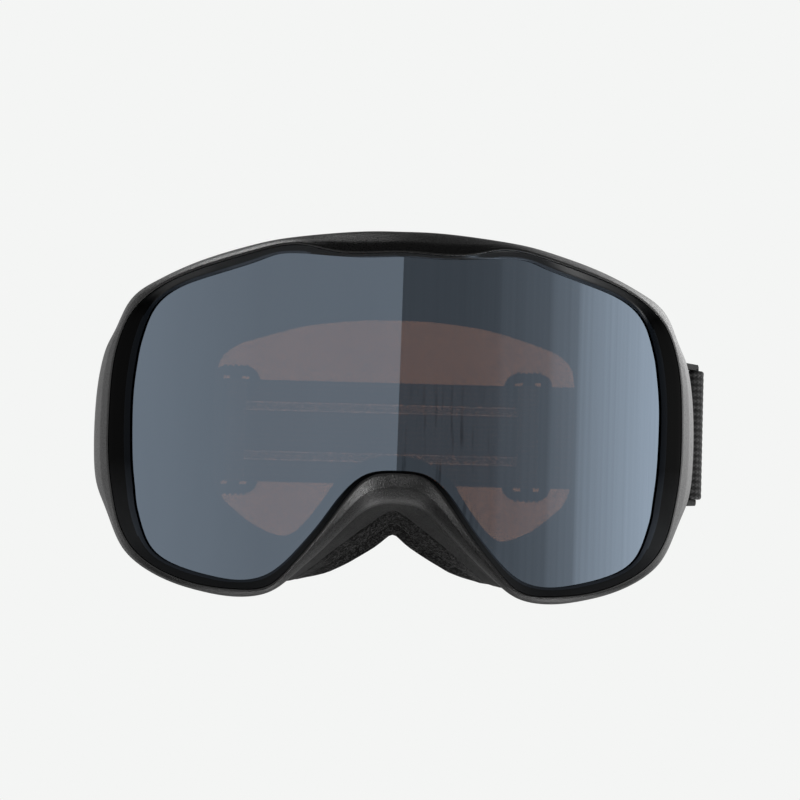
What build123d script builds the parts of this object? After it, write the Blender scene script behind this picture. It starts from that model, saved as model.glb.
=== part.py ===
from build123d import *
import math
import os

# Ski goggles with a double lens, a three-layer face foam and an elastic strap loop.
# X is to the right as seen by someone facing the goggles, Y runs from lens to head, Z is up.
# The origin lies on the face plane, midway up the goggles. Lengths are in millimetres.

# Lens
LENS_RADIUS = 112.0
LENS_APEX_Y = -45.0
OUTER_LENS_THICKNESS = 1.2
LENS_SPACER_THICKNESS = 1.9
INNER_LENS_THICKNESS = 0.8
LENS_CLEARANCE = 0.3
LAYER_GAP = 0.15

# Outer frame and bezel
CREST_HEIGHT = 3.0
CREST_WIDTH = 0.6
SHELL_BULGE_DEPTH = 7.0
SHELL_REAR_DEPTH = 12.0
SHELL_REAR_WIDTH = 6.4
LENS_SEAT_INSET = 0.5
LENS_SEAT_DEPTH = 4.6
LENS_SEAT_THICKNESS = 1.7
LENS_REACH = 65.0
CURVE_SPANS = 4
BEZEL_LIP = 0.5

# Inner frame, vents and face foam
FACE_CURVATURE_RADIUS = 107.5
INNER_FRAME_INSET = 5.2
INNER_FRAME_WALL = 2.2
INNER_FRAME_FLANGE = 2.0
FOAM_BASE_THICKNESS = 10.0
FOAM_MID_THICKNESS = 4.0
FLEECE_THICKNESS = 3.0
FLANGE_OPENING_MARGIN = 3.0
FLANGE_REAR = FOAM_BASE_THICKNESS + FOAM_MID_THICKNESS + FLEECE_THICKNESS + 3 * LAYER_GAP
VENT_FOAM_THICKNESS = 2.0
VENT_GAP = 0.3

# Strap
STRAP_WIDTH = 38.0
STRAP_THICKNESS = 1.4
STRAP_TILT = -1.35
STRAP_START_Y = 22.0
STRAP_START_Z = -3.2
STRAP_REAR_Y = 162.5
STRAP_LAYER_SPACING = 2.0
STRAP_REAR_HALF = 64.0
GRIP_WIDTH = 3.4
GRIP_THICKNESS = 0.25
GRIP_HALF_SPACING = 9.2
GRIP_HALF_LENGTH = 63.0
TACK_OFFSET = 9.1
TACK_WIDTH = 1.6
TACK_THICKNESS = 0.35
TACK_HALF_HEIGHT = 15.0
RETURN_END_OFFSET = 3.9
RETAINER_SEAT_HALF = 18.0

# Hinged strap clips
HINGE_X = 85.8
HINGE_Y = 12.0
HINGE_RADIUS = 2.6
PIN_RADIUS = 1.1
PIN_CLEARANCE = 0.05
PIN_FIT = 0.01
LUG_INNER_Z = 13.0
LUG_OUTER_Z = 18.5
LUG_GAP = 0.3
LUG_REACH = 9.0
LUG_ARM_INSIDE = 0.6
PIN_HEAD = 0.8
PIN_HEAD_RADIUS = 1.8
CLIP_BAR_DISTANCE = 14.8
CLIP_BAR_RADIUS = 1.4
CLIP_THICKNESS = 2.4
CLIP_HALF_HEIGHT = 21.8
CLIP_CORNER = 1.2
FOLD_LEG = 2.3
CLIP_WINDOW_HALF_HEIGHT = 20.0
CLIP_REST_ANGLE = {"right": 26.5, "left": 4.9}
BAR_CLEARANCE = 0.3

# Strap sliders
SLIDER_X = {"right": 52.2, "left": 56.6}
SLIDER_WIDTH = 17.4
SLIDER_HEIGHT = 47.2
SLIDER_CORNER = 5.0
SLIDER_PLATE = 1.8
SLIDER_SLOT_SPACING = 6.9
SLIDER_SLOT_WIDTH = 2.4
SLIDER_WINDOW_HALF = 20.2
SLIDER_FRONT_Y = 157.3
SLIDER_BACK_Y = 165.4
END_LOOP_THICKNESS = 1.2
END_LOOP_CLEARANCE = 0.2
GRIP_BUMPS = 5
GRIP_BUMP_PITCH = 2.0
GRIP_BUMP_RADIUS = 0.6

# Half outlines in the front view, (x, z) from the top centre round to the nose, at matching stations.
LENS_EDGE = [
    (0, 44.2), (18, 44), (29, 44.7), (40, 42.6), (54, 38.3), (66, 33.6), (72, 27), (74.2, 21),
    (75.1, 17.6), (75.8, 13.5), (76.9, 0), (76.4, -15), (75.4, -23), (74.9, -26.6), (74, -30),
    (70.6, -38), (63, -43.2), (52, -45.8), (43, -46.5), (34.8, -44.2), (27, -37), (20.5, -28.9),
    (14.1, -20.3), (8, -15.7), (0, -14.7),
]
CREST = [
    (0, 45.8), (19.5, 45.8), (27, 47.4), (42, 45.2), (56.6, 41), (70.3, 35), (78, 28), (80.8, 22.5),
    (82.1, 18.6), (83, 14.7), (84.2, 0), (84.1, -13), (82.7, -23), (81.8, -27), (80.6, -31.3),
    (75.6, -39.6), (66, -45.7), (54, -48.9), (44, -49.5), (35, -48.2), (27.5, -41.4), (20.3, -32.6),
    (12.8, -22.2), (7.2, -16.9), (0, -15.9),
]
SHELL_EDGE = [
    (0, 51.9), (17, 51.3), (28.4, 50.1), (43, 47.4), (57.5, 43.2), (71, 37.6), (79.8, 31),
    (83.6, 23.6), (86.2, 19.2), (87.8, 14.8), (90, -1), (90, -13.5), (88.2, -23.8), (86.2, -27.7),
    (83.9, -32.3), (78.6, -41.2), (67.5, -47.8), (55.5, -50.9), (45, -52), (35.4, -50.4),
    (28, -45), (20.8, -38.3), (13.8, -31.1), (7, -25.6), (0, -24.4),
]
FLANGE_EDGE = [
    (0, 48.5), (17, 48), (28, 46.8), (43, 44), (57, 39.8), (69, 34.5), (76, 27.5), (78.5, 21.5),
    (79.5, 17.8), (80.3, 14), (81.5, 0), (80.8, -15), (79.5, -23), (78.5, -27), (77.2, -31),
    (72, -39.5), (62, -45.7), (51, -48.8), (42.5, -49.8), (35, -48.9), (28, -45.6), (21, -39.2),
    (13.9, -31.9), (7, -26.2), (0, -25),
]
FELT_EDGE = FLANGE_EDGE[:18] + [
    (42.2, -50.1), (35, -50.2), (28, -48), (21, -42.9), (13.5, -36.8), (4.6, -30.1), (0, -27.6),
]
FOAM_EDGE = FLANGE_EDGE[:18] + [
    (42, -50.3), (35, -50.3), (28, -49.8), (20.5, -48.1), (12.5, -44.5), (4, -39.1), (0, -36),
]
FACE_OPENING = [
    (0, 28.2), (12, 27.9), (22, 26.9), (34, 24.4), (44, 21.5), (49.8, 18.8), (52.8, 15.4),
    (53.6, 12.3), (53.8, 9.5), (53.8, 6), (53.8, -2), (53.6, -11), (53.4, -17.2), (53, -20.5),
    (51.9, -24), (48, -28.2), (43, -32), (38, -34.6), (32.8, -36), (28.6, -34.2), (24.2, -29.4),
    (19.2, -22.3), (14.6, -16.6), (8, -12.7), (0, -11.5),
]

# Strap centre line seen from above, from the right clip to the middle of the back of the head.
RIGHT_ROUTE = [(94.8, 28), (95, 75), (91.6, 128), (78.5, STRAP_REAR_Y)]
LEFT_ROUTE = [(-89.5, 29.2), (-91.6, 75), (-90, 128), (-78.5, STRAP_REAR_Y)]
ROUTE_RADII = [300, 100, 15]

# Vent windows through the inner frame's wall, and the stretches that vent foam lines, as
# (name, distances from the centre, heights).
TOP_WINDOWS = (16, 34, 52)
BOTTOM_WINDOWS = (45,)
WINDOW_LENGTH = 13.0
WINDOW_DEPTH = 5.0
WINDOW_REACH = 60.0
SIDE_WINDOW_X = 81.0
SIDE_WINDOW_Z = -2.0
SIDE_WINDOW_DEPTH = 5.0
SIDE_WINDOW_HEIGHT = 26.0
VENT_ZONES = (
    ("top", (5, 62), (30, 60)),
    ("bottom", (36, 56), (-60, -38)),
    ("side", (60, 90), (-18, 14)),
)

SIDES = {"right": 1, "left": -1}
TILT = Pos(0, STRAP_START_Y, STRAP_START_Z) * Rot(STRAP_TILT, 0, 0) * Pos(0, -STRAP_START_Y, 0)


def save(shape, name):
    """Write one node, checking that it is whole."""
    export_step(shape, f"parts/{name}.step")
    print(f"{name:24s} {shape.volume:10.1f} mm3 valid {shape.is_valid}")


def mirrored(half):
    """The closed outline whose right half is given."""
    return half + [(-x, z) for x, z in reversed(half[1:-1])]


def inset(outline, distance):
    """The outline moved towards its inside along its own normals; negative moves it out."""
    moved = []
    count = len(outline)
    for i, (x, z) in enumerate(outline):
        before = outline[i - 1]
        after = outline[(i + 1) % count]
        tangent = Vector(after[0] - before[0], after[1] - before[1]).normalized()
        moved.append((x + tangent.Y * distance, z - tangent.X * distance))
    return moved


def sag(x, radius=LENS_RADIUS):
    """How far a vertical cylinder falls back at x from its foremost line."""
    return radius - math.sqrt(radius**2 - x**2)


def at_depth(outline, depth):
    """The outline laid behind the lens surface, depth measured along Y."""
    return [(x, LENS_APEX_Y + sag(x) + depth, z) for x, z in outline]


def in_lens(outline, depth):
    """The outline laid on a cylinder about the lens axis, depth measured square to the lens."""
    inner = LENS_RADIUS - depth
    return [(x, LENS_APEX_Y + depth + sag(x, inner), z) for x, z in outline]


def at_face(outline, depth):
    """The outline laid on the curved face surface, depth measured forwards from it."""
    return [(x, x**2 / (2 * FACE_CURVATURE_RADIUS) - depth, z) for x, z in outline]


def closed_spans(points):
    """The smooth closed curve through the points, in equal spans."""
    curve = Edge.make_spline(points, periodic=True)
    return [curve.trim(i / CURVE_SPANS, (i + 1) / CURVE_SPANS) for i in range(CURVE_SPANS)]


def ring(*loops):
    """The closed tube whose section has one corner on each loop."""
    curves = [closed_spans(loop) for loop in loops]
    faces = []
    for near, far in zip(curves, curves[1:] + curves[:1]):
        faces += [Face.make_surface_from_curves(a, b) for a, b in zip(near, far)]
    return Solid(Shell(faces))


def lens_layer(outline, front, rear):
    """A sheet of the lens stack between two depths, cut to an outline in the front view."""
    rim = closed_spans([(x, LENS_APEX_Y - LENS_REACH, z) for x, z in outline])
    blank = extrude(Face(Wire(rim)), amount=2 * LENS_REACH, dir=(0, 1, 0))
    tall = 2 * LENS_REACH
    shell = Cylinder(LENS_RADIUS - front, tall) - Cylinder(LENS_RADIUS - rear, tall)
    return blank & (Pos(0, LENS_APEX_Y + LENS_RADIUS, 0) * shell)


def block(x, y, z):
    """A box given by its (low, high) extents."""
    corner = Pos((x[0] + x[1]) / 2, (y[0] + y[1]) / 2, (z[0] + z[1]) / 2)
    return corner * Box(x[1] - x[0], y[1] - y[0], z[1] - z[0])


def swung(x, angle, sign):
    """The place of the strap bar when its clip is swung outwards by an angle."""
    turn = math.radians(angle)
    out = CLIP_BAR_DISTANCE * math.sin(turn)
    return x + sign * out, HINGE_Y + CLIP_BAR_DISTANCE * math.cos(turn)


def outer_frame():
    """The moulded shell: crest, sloped wall, lens seat and a pair of hinge lugs at each side."""
    crest = mirrored(CREST)
    shell_edge = mirrored(SHELL_EDGE)
    seat = inset(mirrored(LENS_EDGE), LENS_SEAT_INSET)
    frame = ring(
        at_depth(inset(crest, CREST_WIDTH), -CREST_HEIGHT),
        at_depth(crest, -CREST_HEIGHT),
        at_depth(shell_edge, SHELL_BULGE_DEPTH),
        at_depth(shell_edge, SHELL_REAR_DEPTH),
        at_depth(inset(shell_edge, SHELL_REAR_WIDTH), SHELL_REAR_DEPTH),
        in_lens(seat, LENS_SEAT_DEPTH + LENS_SEAT_THICKNESS),
        in_lens(seat, LENS_SEAT_DEPTH),
        in_lens(inset(crest, CREST_WIDTH), LENS_SEAT_DEPTH),
    )
    for sign in SIDES.values():
        for low, high in ((LUG_INNER_Z, LUG_OUTER_Z), (-LUG_OUTER_Z, -LUG_INNER_Z)):
            middle = Pos(sign * HINGE_X, HINGE_Y, (low + high) / 2)
            lug = middle * Cylinder(HINGE_RADIUS, high - low)
            reach = (HINGE_Y - LUG_REACH, HINGE_Y)
            edges = sorted((sign * (HINGE_X - LUG_ARM_INSIDE), sign * (HINGE_X + HINGE_RADIUS)))
            lug += block(edges, reach, (low, high))
            frame = frame + TILT * lug
        hole = Cylinder(PIN_RADIUS + PIN_FIT, 2 * CLIP_HALF_HEIGHT)
        frame = frame - TILT * Pos(sign * HINGE_X, HINGE_Y, 0) * hole
    return frame


def lens_bezel():
    """The gloss ring that slopes from the crest down to the visible edge of the lens."""
    outside = inset(mirrored(CREST), CREST_WIDTH + LAYER_GAP)
    lens_edge = mirrored(LENS_EDGE)
    return ring(
        at_depth(outside, -CREST_HEIGHT + LAYER_GAP),
        in_lens(lens_edge, -BEZEL_LIP),
        in_lens(lens_edge, -LAYER_GAP),
        in_lens(outside, -LAYER_GAP),
    )


def lens_stack():
    """Outer lens, spacer seal and inner lens, front to back."""
    rim = inset(mirrored(CREST), CREST_WIDTH + LENS_CLEARANCE)
    spacer_front = OUTER_LENS_THICKNESS + LAYER_GAP
    inner_front = spacer_front + LENS_SPACER_THICKNESS + LAYER_GAP
    inner_rear = inner_front + INNER_LENS_THICKNESS
    spacer_rear = inner_front - LAYER_GAP
    spacer = lens_layer(inset(rim, LENS_CLEARANCE), spacer_front, spacer_rear)
    opening = lens_layer(inset(mirrored(LENS_EDGE), LENS_SEAT_INSET), 0, LENS_SEAT_DEPTH)
    return {
        "outer_lens": lens_layer(rim, 0, OUTER_LENS_THICKNESS),
        "lens_spacer_seal": spacer - opening,
        "inner_lens": lens_layer(inset(rim, LENS_CLEARANCE), inner_front, inner_rear),
    }


def wall_middle(x):
    """Where the inner frame's wall has its middle along Y, at a distance x from the centre."""
    front = LENS_APEX_Y + sag(x) + SHELL_REAR_DEPTH
    rear = x**2 / (2 * FACE_CURVATURE_RADIUS) - FLANGE_REAR - INNER_FRAME_FLANGE
    return (front + rear) / 2


def inner_frame():
    """The face flange: a wall behind the outer frame, a rear flange for the foam, vent windows."""
    flange_edge = mirrored(FLANGE_EDGE)
    shell_edge = mirrored(SHELL_EDGE)
    opening = inset(mirrored(FACE_OPENING), -FLANGE_OPENING_MARGIN)
    front = SHELL_REAR_DEPTH + LAYER_GAP
    flange_front = FLANGE_REAR + INNER_FRAME_FLANGE
    frame = ring(
        at_depth(inset(shell_edge, INNER_FRAME_INSET), front),
        at_face(flange_edge, FLANGE_REAR),
        at_face(opening, FLANGE_REAR),
        at_face(opening, flange_front),
        at_face(inset(flange_edge, INNER_FRAME_WALL), flange_front),
        at_depth(inset(shell_edge, INNER_FRAME_INSET + INNER_FRAME_WALL), front),
    )
    for x in TOP_WINDOWS + BOTTOM_WINDOWS:
        for sign in SIDES.values():
            slope = math.degrees(math.atan2(wall_middle(x + 1) - wall_middle(x - 1), 2))
            place = Pos(sign * x, wall_middle(x), 0) * Rot(0, 0, sign * slope)
            window = Box(WINDOW_LENGTH, WINDOW_DEPTH, WINDOW_REACH)
            height = WINDOW_REACH / 2 + 1
            frame = frame - place * Pos(0, 0, height if x in TOP_WINDOWS else -height) * window
    for sign in SIDES.values():
        side = Pos(sign * HINGE_X, wall_middle(SIDE_WINDOW_X), SIDE_WINDOW_Z)
        frame = frame - side * Box(2 * SHELL_REAR_DEPTH, SIDE_WINDOW_DEPTH, SIDE_WINDOW_HEIGHT)
    return frame


def vent_foams():
    """Strips of open foam that line the vent windows from inside."""
    wall = INNER_FRAME_WALL + VENT_GAP
    shell_edge = mirrored(SHELL_EDGE)
    flange_edge = mirrored(FLANGE_EDGE)
    front = SHELL_REAR_DEPTH + 2 * VENT_GAP
    rear = FLANGE_REAR + INNER_FRAME_FLANGE + VENT_GAP
    lining = ring(
        at_depth(inset(shell_edge, INNER_FRAME_INSET + wall), front),
        at_face(inset(flange_edge, wall), rear),
        at_face(inset(flange_edge, wall + VENT_FOAM_THICKNESS), rear),
        at_depth(inset(shell_edge, INNER_FRAME_INSET + wall + VENT_FOAM_THICKNESS), front),
    )
    strips = {}
    for side, sign in SIDES.items():
        for name, (near, far), height in VENT_ZONES:
            zone = block(sorted((sign * near, sign * far)), (-LENS_REACH, LENS_REACH), height)
            strips[f"vent_foam_{name}_{side}"] = lining & zone
    return strips


def face_foam():
    """Base foam, soft middle foam and fleece, stacked towards the face."""
    opening = mirrored(FACE_OPENING)
    face = mirrored(FOAM_EDGE)
    felt = mirrored(FELT_EDGE)
    flange = mirrored(FLANGE_EDGE)
    middle = [((a + c) / 2, (b + d) / 2) for (a, b), (c, d) in zip(face, felt)]
    layers = {}
    rear = 0
    for name, thickness, front_edge, rear_edge in (
        ("face_fleece", FLEECE_THICKNESS, middle, face),
        ("face_foam_mid", FOAM_MID_THICKNESS, felt, middle),
        ("face_foam_base", FOAM_BASE_THICKNESS, flange, felt),
    ):
        front = rear + thickness
        layers[name] = ring(
            at_face(front_edge, front),
            at_face(rear_edge, rear),
            at_face(opening, rear),
            at_face(opening, front),
        )
        rear = front + LAYER_GAP
    return layers


def strap_clip(side, sign):
    """The hinged clip, its pin and the strap's fold round its bar."""
    thickness = (-CLIP_THICKNESS / 2, CLIP_THICKNESS / 2)
    reach = (HINGE_RADIUS + 2 * LUG_GAP, CLIP_BAR_DISTANCE + CLIP_BAR_RADIUS)
    arm = block(thickness, reach, (-CLIP_HALF_HEIGHT, CLIP_HALF_HEIGHT))
    arm = fillet(arm.edges().filter_by(Axis.X).sort_by(Axis.Y)[-2:], CLIP_CORNER)
    barrel_half = LUG_INNER_Z - LUG_GAP
    arm += Cylinder(HINGE_RADIUS, 2 * barrel_half)
    arm += block(thickness, (0, 2 * HINGE_RADIUS), (-barrel_half, barrel_half))
    window = CLIP_WINDOW_HALF_HEIGHT
    opening = (2 * HINGE_RADIUS, 2 * CLIP_BAR_DISTANCE)
    arm -= block((-HINGE_RADIUS, HINGE_RADIUS), opening, (-window, window))
    arm += Pos(0, CLIP_BAR_DISTANCE, 0) * Cylinder(CLIP_BAR_RADIUS, 2 * window + 1)
    arm -= Cylinder(PIN_RADIUS + PIN_CLEARANCE, 2 * CLIP_HALF_HEIGHT)
    hinge = Pos(sign * HINGE_X, HINGE_Y, 0)
    pin = Cylinder(PIN_RADIUS, 2 * LUG_OUTER_Z)
    pin += Pos(0, 0, LUG_OUTER_Z + PIN_HEAD / 2) * Cylinder(PIN_HEAD_RADIUS, PIN_HEAD)
    bar_x, bar_y = swung(sign * HINGE_X, CLIP_REST_ANGLE[side], sign)
    inner = CLIP_BAR_RADIUS + BAR_CLEARANCE
    outer = inner + STRAP_THICKNESS
    fold = Cylinder(outer, STRAP_WIDTH) - Cylinder(inner, STRAP_WIDTH)
    fold -= block((-outer, outer), (0, outer), (-STRAP_WIDTH, STRAP_WIDTH))
    for near, far in ((-outer, -inner), (inner, outer)):
        fold += block((near, far), (0, FOLD_LEG), (-STRAP_WIDTH / 2, STRAP_WIDTH / 2))
    return {
        f"strap_clip_{side}": TILT * hinge * Rot(0, 0, -sign * CLIP_REST_ANGLE[side]) * arm,
        f"hinge_pin_{side}": TILT * hinge * pin,
        f"strap_clip_fold_{side}": TILT * Pos(bar_x, bar_y, 0) * fold,
    }


def parallel(points, distance):
    """The route moved sideways, to its left for a positive distance, with mitred corners."""
    headings = [(Vector(*b) - Vector(*a)).normalized() for a, b in zip(points, points[1:])]
    moved = []
    for i, point in enumerate(points):
        before = headings[max(i - 1, 0)]
        after = headings[min(i, len(headings) - 1)]
        normal = Vector(-before.Y - after.Y, before.X + after.X).normalized()
        stretch = 1 / (normal.X * -after.Y + normal.Y * after.X)
        shift = distance * stretch
        moved.append((point[0] + normal.X * shift, point[1] + normal.Y * shift))
    return moved


def webbing(points, radii):
    """A length of strap standing on edge along a route seen from above."""
    path = FilletPolyline(*points, radius=radii)
    section = Plane(origin=path @ 0, z_dir=path % 0, x_dir=(0, 0, 1))
    return TILT * sweep(section * Rectangle(STRAP_WIDTH, STRAP_THICKNESS), path=path)


def back_stretch(front, back):
    """The strap behind the head, its outer face marked off where a helmet's retainer holds it."""
    end, seat = STRAP_REAR_HALF, RETAINER_SEAT_HALF
    corners = [(-end, front), (end, front), (end, back), (seat, back), (-seat, back), (-end, back)]
    outline = Pos(0, 0, -STRAP_WIDTH / 2) * make_face(Polyline(*corners, close=True))
    return extrude(outline, amount=STRAP_WIDTH, dir=(0, 0, 1), clean=False)


def strap():
    """The elastic strap: back stretch, side stretches and the layers that return to the sliders."""
    rear_layer = (STRAP_REAR_Y - STRAP_THICKNESS / 2, STRAP_REAR_Y + STRAP_THICKNESS / 2)
    pieces = {"strap_rear": TILT * back_stretch(*rear_layer)}
    grip_y = (rear_layer[0] - GRIP_THICKNESS, rear_layer[0])
    for name, height in (("upper", GRIP_HALF_SPACING), ("lower", -GRIP_HALF_SPACING)):
        band = (height - GRIP_WIDTH / 2, height + GRIP_WIDTH / 2)
        strip = block((-GRIP_HALF_LENGTH, GRIP_HALF_LENGTH), grip_y, band)
        pieces[f"silicone_grip_{name}"] = TILT * strip
    for side, sign in SIDES.items():
        route = RIGHT_ROUTE if side == "right" else LEFT_ROUTE
        outer_end = (sign * (STRAP_REAR_HALF + LAYER_GAP), STRAP_REAR_Y)
        pieces[f"strap_side_{side}"] = webbing(route + [outer_end], ROUTE_RADII)
        inner = parallel(route + [outer_end], sign * STRAP_LAYER_SPACING)
        fold_width = 2 * (CLIP_BAR_RADIUS + BAR_CLEARANCE) + STRAP_THICKNESS
        inner[0] = (route[0][0] - sign * fold_width, route[0][1])
        inner[-1] = (sign * (SLIDER_X[side] + RETURN_END_OFFSET), inner[-1][1])
        inner_radii = ROUTE_RADII[:1] + [r - STRAP_LAYER_SPACING for r in ROUTE_RADII[1:]]
        pieces[f"strap_return_{side}"] = webbing(inner, inner_radii)
        tack_y = inner[-1][1] - STRAP_THICKNESS / 2
        tack_start = SLIDER_X[side] + TACK_OFFSET
        tack_x = sorted((sign * tack_start, sign * (tack_start + TACK_WIDTH)))
        tack_z = (-TACK_HALF_HEIGHT, TACK_HALF_HEIGHT)
        tack = block(tack_x, (tack_y - TACK_THICKNESS, tack_y), tack_z)
        pieces[f"bar_tack_{side}"] = TILT * tack
    return pieces


def strap_slider(side, sign):
    """A three-bar slider, stepped so that the strap runs straight through, and the sewn end loop."""
    half_width = SLIDER_WIDTH / 2
    plate_rear = SLIDER_FRONT_Y + SLIDER_PLATE
    bar_front = SLIDER_BACK_Y - SLIDER_PLATE
    window = (-SLIDER_WINDOW_HALF, SLIDER_WINDOW_HALF)
    everywhere = (-SLIDER_HEIGHT, SLIDER_HEIGHT)
    front_plane = Plane(origin=(0, SLIDER_FRONT_Y, 0), x_dir=(1, 0, 0), z_dir=(0, 1, 0))
    outline = front_plane * RectangleRounded(SLIDER_WIDTH, SLIDER_HEIGHT, SLIDER_CORNER)
    body = extrude(outline, amount=SLIDER_BACK_Y - SLIDER_FRONT_Y)
    centre_bar = (SLIDER_SLOT_SPACING - SLIDER_SLOT_WIDTH) / 2
    slot_end = centre_bar + SLIDER_SLOT_WIDTH
    body -= block((centre_bar, slot_end), (0, 2 * SLIDER_BACK_Y), window)
    body -= block((-slot_end, -centre_bar), (0, 2 * SLIDER_BACK_Y), window)
    body -= block((-SLIDER_WIDTH, -slot_end), (0, bar_front), window)
    body -= block((-half_width, half_width), (plate_rear, bar_front), window)
    body -= block((-centre_bar, SLIDER_WIDTH), (plate_rear, 2 * SLIDER_BACK_Y), everywhere)
    for i in range(GRIP_BUMPS):
        x = (i - (GRIP_BUMPS - 1) / 2) * GRIP_BUMP_PITCH
        for z in (-SLIDER_HEIGHT / 2, SLIDER_HEIGHT / 2):
            bump = Rot(90, 0, 0) * Cylinder(GRIP_BUMP_RADIUS, SLIDER_PLATE)
            body += Pos(x, SLIDER_FRONT_Y + SLIDER_PLATE / 2, z) * bump
    inner = SLIDER_PLATE / 2 + END_LOOP_CLEARANCE
    outer = inner + END_LOOP_THICKNESS
    straight = 2 * centre_bar - SLIDER_PLATE / 2
    slot = SlotCenterToCenter(straight, 2 * outer) - SlotCenterToCenter(straight, 2 * inner)
    loop = Pos(0, SLIDER_FRONT_Y + SLIDER_PLATE / 2, -STRAP_WIDTH / 2) * extrude(slot, STRAP_WIDTH)
    place = Pos(sign * SLIDER_X[side], 0, 0)
    if sign < 0:
        body = mirror(body, about=Plane.YZ)
    return {
        f"strap_slider_{side}": TILT * place * body,
        f"strap_end_loop_{side}": TILT * place * loop,
    }


def main():
    """Make every node and write it."""
    os.makedirs("parts", exist_ok=True)
    nodes = {"outer_frame": outer_frame(), "lens_bezel": lens_bezel(), "inner_frame": inner_frame()}
    nodes.update(lens_stack())
    nodes.update(vent_foams())
    nodes.update(face_foam())
    nodes.update(strap())
    for side, sign in SIDES.items():
        nodes.update(strap_clip(side, sign))
        nodes.update(strap_slider(side, sign))
    for name, shape in nodes.items():
        save(shape, name)


main()
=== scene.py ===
import math

import bpy
import numpy as np
from mathutils import Matrix, Vector


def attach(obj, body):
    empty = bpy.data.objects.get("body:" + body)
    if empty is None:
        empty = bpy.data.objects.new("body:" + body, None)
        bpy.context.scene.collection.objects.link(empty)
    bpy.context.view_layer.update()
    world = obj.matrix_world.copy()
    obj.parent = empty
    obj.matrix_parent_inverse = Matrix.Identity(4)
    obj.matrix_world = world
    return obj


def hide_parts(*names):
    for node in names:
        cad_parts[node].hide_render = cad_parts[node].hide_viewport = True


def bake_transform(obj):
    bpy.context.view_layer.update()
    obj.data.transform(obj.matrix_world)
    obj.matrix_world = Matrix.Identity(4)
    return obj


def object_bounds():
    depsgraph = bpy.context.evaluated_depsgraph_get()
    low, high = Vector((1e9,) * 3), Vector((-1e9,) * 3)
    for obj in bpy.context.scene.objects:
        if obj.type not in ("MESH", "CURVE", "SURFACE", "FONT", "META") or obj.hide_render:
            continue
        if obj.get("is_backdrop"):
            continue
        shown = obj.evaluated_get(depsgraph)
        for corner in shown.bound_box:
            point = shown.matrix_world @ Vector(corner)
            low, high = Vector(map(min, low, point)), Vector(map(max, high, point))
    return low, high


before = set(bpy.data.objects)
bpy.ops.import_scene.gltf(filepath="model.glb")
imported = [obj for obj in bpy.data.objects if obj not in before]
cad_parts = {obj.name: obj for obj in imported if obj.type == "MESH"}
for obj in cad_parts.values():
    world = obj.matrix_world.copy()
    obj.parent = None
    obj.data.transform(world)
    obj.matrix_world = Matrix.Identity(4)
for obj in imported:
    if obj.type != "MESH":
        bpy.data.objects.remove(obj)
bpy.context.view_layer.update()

# Ski goggles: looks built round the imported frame. Metres; X right, Y from lens to head, Z up.
MM = 0.001
LENS_RADIUS = 112 * MM
LENS_APEX_Y = -45 * MM
CREST_WIDTH = 0.6 * MM
LENS_SEAT_INSET = 0.5 * MM
FACE_CURVATURE_RADIUS = 107.5 * MM
STRAP_WIDTH = 38 * MM
STRAP_THICKNESS = 1.4 * MM
STRAP_LAYER_SPACING = 2 * MM
STRAP_REAR_Y = 162.5 * MM
STRAP_SEAM_X = 57 * MM
SLIDER_X = {"right": 52.2, "left": 56.6}
SEAL_DEPTHS = (1.35, 3.25)
RIB_PITCH = 1.9 * MM
STITCH_PITCH = 1.1 * MM
AROUND = 480

# Half outlines in the front view, in millimetres, from the top centre round to the nose.
LENS_EDGE = [
    (0, 44.2), (18, 44), (29, 44.7), (40, 42.6), (54, 38.3), (66, 33.6), (72, 27), (74.2, 21),
    (75.1, 17.6), (75.8, 13.5), (76.9, 0), (76.4, -15), (75.4, -23), (74.9, -26.6), (74, -30),
    (70.6, -38), (63, -43.2), (52, -45.8), (43, -46.5), (34.8, -44.2), (27, -37), (20.5, -28.9),
    (14.1, -20.3), (8, -15.7), (0, -14.7),
]
CREST = [
    (0, 45.8), (19.5, 45.8), (27, 47.4), (42, 45.2), (56.6, 41), (70.3, 35), (78, 28), (80.8, 22.5),
    (82.1, 18.6), (83, 14.7), (84.2, 0), (84.1, -13), (82.7, -23), (81.8, -27), (80.6, -31.3),
    (75.6, -39.6), (66, -45.7), (54, -48.9), (44, -49.5), (35, -48.2), (27.5, -41.4), (20.3, -32.6),
    (12.8, -22.2), (7.2, -16.9), (0, -15.9),
]
SHELL_EDGE = [
    (0, 51.9), (17, 51.3), (28.4, 50.1), (43, 47.4), (57.5, 43.2), (71, 37.6), (79.8, 31),
    (83.6, 23.6), (86.2, 19.2), (87.8, 14.8), (90, -1), (90, -13.5), (88.2, -23.8), (86.2, -27.7),
    (83.9, -32.3), (78.6, -41.2), (67.5, -47.8), (55.5, -50.9), (45, -52), (35.4, -50.4),
    (28, -45), (20.8, -38.3), (13.8, -31.1), (7, -25.6), (0, -24.4),
]
FLANGE_EDGE = [
    (0, 48.5), (17, 48), (28, 46.8), (43, 44), (57, 39.8), (69, 34.5), (76, 27.5), (78.5, 21.5),
    (79.5, 17.8), (80.3, 14), (81.5, 0), (80.8, -15), (79.5, -23), (78.5, -27), (77.2, -31),
    (72, -39.5), (62, -45.7), (51, -48.8), (42.5, -49.8), (35, -48.9), (28, -45.6), (21, -39.2),
    (13.9, -31.9), (7, -26.2), (0, -25),
]
FELT_EDGE = FLANGE_EDGE[:18] + [
    (42.2, -50.1), (35, -50.2), (28, -48), (21, -42.9), (13.5, -36.8), (4.6, -30.1), (0, -27.6),
]
FOAM_EDGE = FLANGE_EDGE[:18] + [
    (42, -50.3), (35, -50.3), (28, -49.8), (20.5, -48.1), (12.5, -44.5), (4, -39.1), (0, -36),
]
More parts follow.
